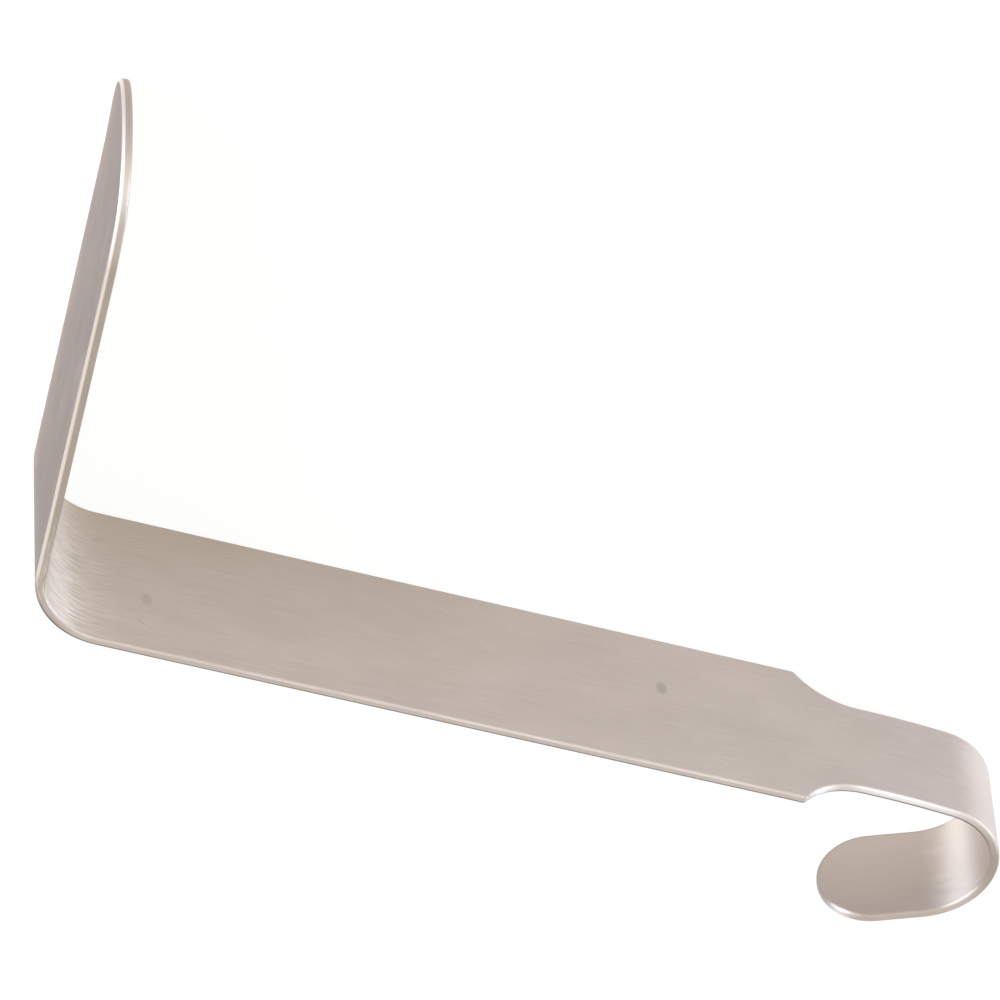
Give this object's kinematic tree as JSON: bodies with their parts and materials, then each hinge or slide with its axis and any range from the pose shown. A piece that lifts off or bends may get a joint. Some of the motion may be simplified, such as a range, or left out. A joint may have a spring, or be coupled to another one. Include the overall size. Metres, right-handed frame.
{
  "type": "surgical_retractor",
  "caption": "Handheld surgical retractor: one satin stainless steel strip with a broad flat blade bent up from a straight handle and a narrower curled hook at the other end.",
  "frame": {"origin": "under the middle of the part's bounding box, on the surface it lies on with its long edge down", "axes": "+X along the handle towards the hook, +Y to the side the blade is bent to, +Z across the strip's width, up"},
  "size_m": [0.2056, 0.14, 0.032],
  "materials": {
    "steel": "satin brushed along the strip"
  },
  "bodies": {
    "root": {"retractor": "steel"}
  },
  "joints": []
}
